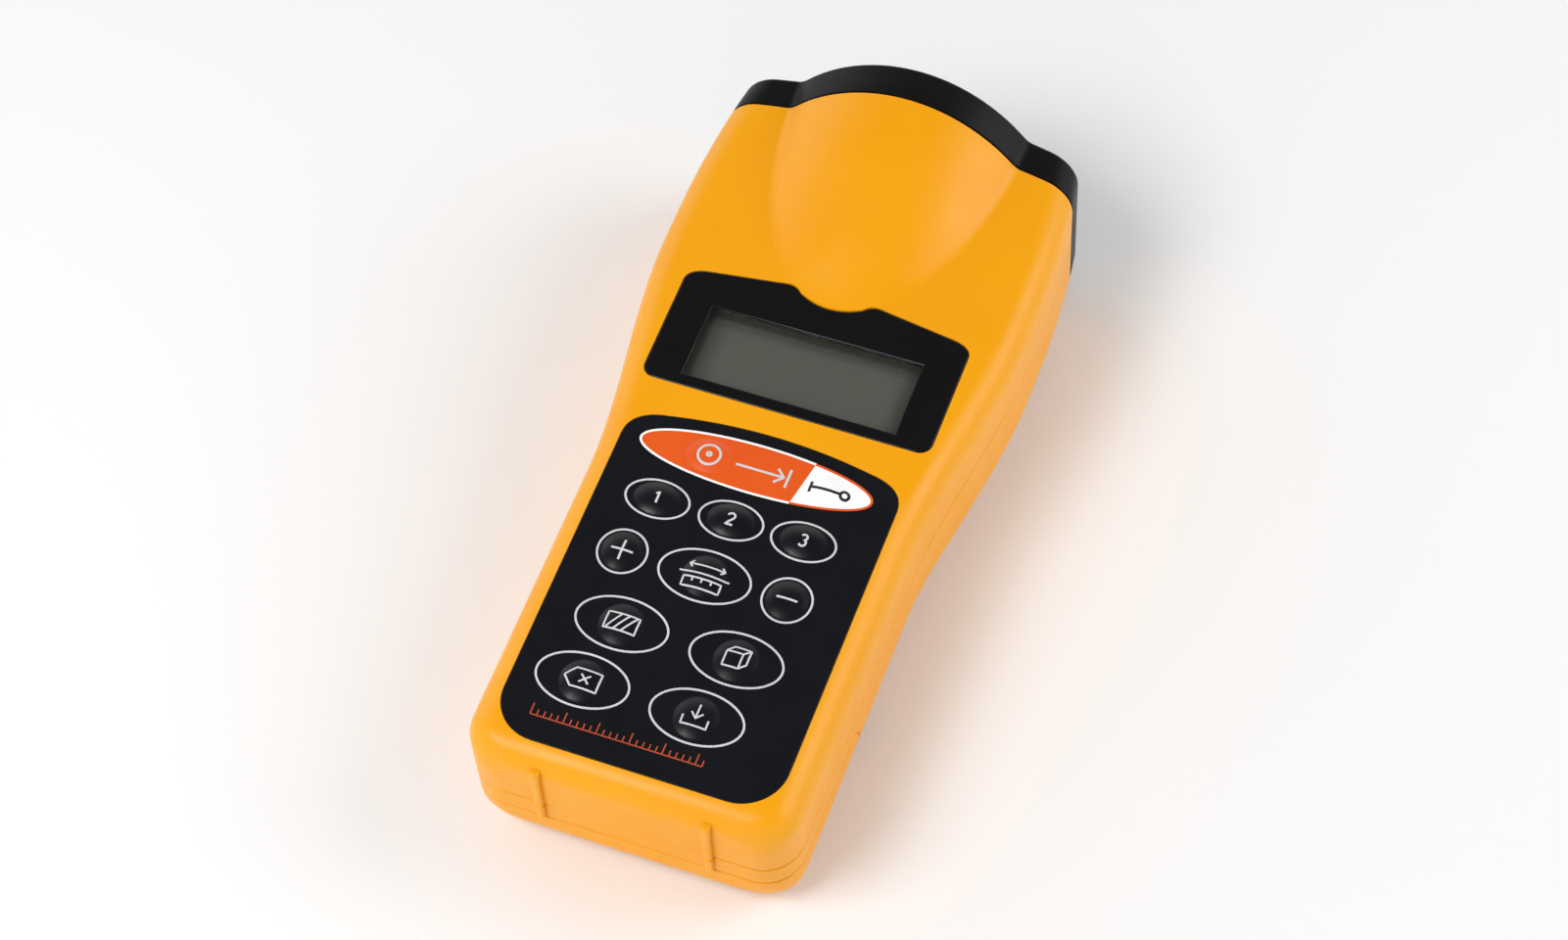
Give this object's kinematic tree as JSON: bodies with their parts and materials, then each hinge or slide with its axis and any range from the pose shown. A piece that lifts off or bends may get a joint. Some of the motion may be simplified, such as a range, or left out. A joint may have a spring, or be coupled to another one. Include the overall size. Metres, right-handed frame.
{
  "type": "ultrasonic distance meter",
  "caption": "Hand-held ultrasonic distance meter with a horn in a black nose cap, a laser pointer, a display, a domed membrane keypad and a sliding battery door.",
  "frame": {"origin": "under the middle of the object, at the height of the lowest point of the nose", "axes": "+Y from the tail to the nose, the way it measures; +Z out of the keypad and display face; +X to the right of a person reading the display"},
  "size_m": [0.0736, 0.16, 0.048],
  "materials": {
    "yellow_shell": "fine satin moulded ABS, deep yellow-orange",
    "nose_black": "satin black moulded ABS",
    "horn_black": "smooth black moulded ABS",
    "keypad_print": "printed polyester overlay, semi-gloss black",
    "window_gloss": "back-printed acrylic, gloss black round a clear window",
    "lcd_panel": "grey-green reflective liquid crystal panel",
    "white_plastic": "white moulded plastic",
    "rubber": "black rubber",
    "steel": "zinc-plated steel",
    "screen_mesh": "fine woven steel screen",
    "aluminium": "drawn aluminium can",
    "brass": "turned brass",
    "lens_glass": "clear moulded lens",
    "black_plastic": "black moulded plastic",
    "circuit_board": "green solder mask on glass-fibre board",
    "battery_jacket": "near-black lacquered steel jacket with a plain gold band at one end",
    "capacitor_sleeve": "shrunk sleeve",
    "lead_red": "red insulated lead",
    "lead_black": "black insulated lead"
  },
  "bodies": {
    "case": {"front_case": "yellow_shell", "rear_case": "yellow_shell", "nose_cap": "nose_black", "horn_cone": "horn_black", "display_window": "window_gloss", "lcd_glass": "lcd_panel", "lcd_frame": "black_plastic", "lcd_connector_front": "rubber", "lcd_connector_rear": "rubber", "keypad_overlay": "keypad_print", "ultrasonic_transducer": "aluminium", "transducer_screen": "screen_mesh", "transducer_gasket": "rubber", "laser_barrel": "brass", "laser_lens": "lens_glass", "laser_cradle": "black_plastic", "main_board": "circuit_board", "processor": "black_plastic", "crystal": "aluminium", "transformer": "white_plastic", "capacitor": "capacitor_sleeve", "buzzer": "black_plastic", "switch_measure": "steel", "switch_laser": "steel", "switch_memory_1": "steel", "switch_memory_2": "steel", "switch_memory_3": "steel", "switch_plus": "steel", "switch_unit": "steel", "switch_minus": "steel", "switch_area": "steel", "switch_volume": "steel", "switch_clear": "steel", "switch_store": "steel", "battery": "battery_jacket", "battery_snap": "black_plastic", "battery_lead_red": "lead_red", "battery_lead_black": "lead_black", "case_screw_tail_left": "steel", "case_screw_tail_right": "steel", "case_screw_nose_left": "steel", "case_screw_nose_right": "steel", "board_screw_left": "steel", "board_screw_right": "steel"},
    "battery_door": {"battery_door": "yellow_shell"},
    "key_measure": {"key_measure": "keypad_print"},
    "key_laser": {"key_laser": "keypad_print"},
    "key_memory_1": {"key_memory_1": "keypad_print"},
    "key_memory_2": {"key_memory_2": "keypad_print"},
    "key_memory_3": {"key_memory_3": "keypad_print"},
    "key_plus": {"key_plus": "keypad_print"},
    "key_unit": {"key_unit": "keypad_print"},
    "key_minus": {"key_minus": "keypad_print"},
    "key_area": {"key_area": "keypad_print"},
    "key_volume": {"key_volume": "keypad_print"},
    "key_clear": {"key_clear": "keypad_print"},
    "key_store": {"key_store": "keypad_print"}
  },
  "joints": [
    {"name": "door_slide", "type": "slide", "parent": "case", "child": "battery_door", "axis": [0, -1, 0], "range_m": [0, 0.036]},
    {"name": "press_measure", "type": "slide", "parent": "case", "child": "key_measure", "axis": [0, 0, -1], "range_m": [0, 0.0004], "stiffness_N_per_m": 20, "springref_m": -0.001},
    {"name": "press_laser", "type": "slide", "parent": "case", "child": "key_laser", "axis": [0, 0, -1], "range_m": [0, 0.0004], "stiffness_N_per_m": 20, "springref_m": -0.001},
    {"name": "press_memory_1", "type": "slide", "parent": "case", "child": "key_memory_1", "axis": [0, 0, -1], "range_m": [0, 0.0004], "stiffness_N_per_m": 20, "springref_m": -0.001},
    {"name": "press_memory_2", "type": "slide", "parent": "case", "child": "key_memory_2", "axis": [0, 0, -1], "range_m": [0, 0.0004], "stiffness_N_per_m": 20, "springref_m": -0.001},
    {"name": "press_memory_3", "type": "slide", "parent": "case", "child": "key_memory_3", "axis": [0, 0, -1], "range_m": [0, 0.0004], "stiffness_N_per_m": 20, "springref_m": -0.001},
    {"name": "press_plus", "type": "slide", "parent": "case", "child": "key_plus", "axis": [0, 0, -1], "range_m": [0, 0.0004], "stiffness_N_per_m": 20, "springref_m": -0.001},
    {"name": "press_unit", "type": "slide", "parent": "case", "child": "key_unit", "axis": [0, 0, -1], "range_m": [0, 0.0004], "stiffness_N_per_m": 20, "springref_m": -0.001},
    {"name": "press_minus", "type": "slide", "parent": "case", "child": "key_minus", "axis": [0, 0, -1], "range_m": [0, 0.0004], "stiffness_N_per_m": 20, "springref_m": -0.001},
    {"name": "press_area", "type": "slide", "parent": "case", "child": "key_area", "axis": [0, 0, -1], "range_m": [0, 0.0004], "stiffness_N_per_m": 20, "springref_m": -0.001},
    {"name": "press_volume", "type": "slide", "parent": "case", "child": "key_volume", "axis": [0, 0, -1], "range_m": [0, 0.0004], "stiffness_N_per_m": 20, "springref_m": -0.001},
    {"name": "press_clear", "type": "slide", "parent": "case", "child": "key_clear", "axis": [0, 0, -1], "range_m": [0, 0.0004], "stiffness_N_per_m": 20, "springref_m": -0.001},
    {"name": "press_store", "type": "slide", "parent": "case", "child": "key_store", "axis": [0, 0, -1], "range_m": [0, 0.0004], "stiffness_N_per_m": 20, "springref_m": -0.001}
  ]
}
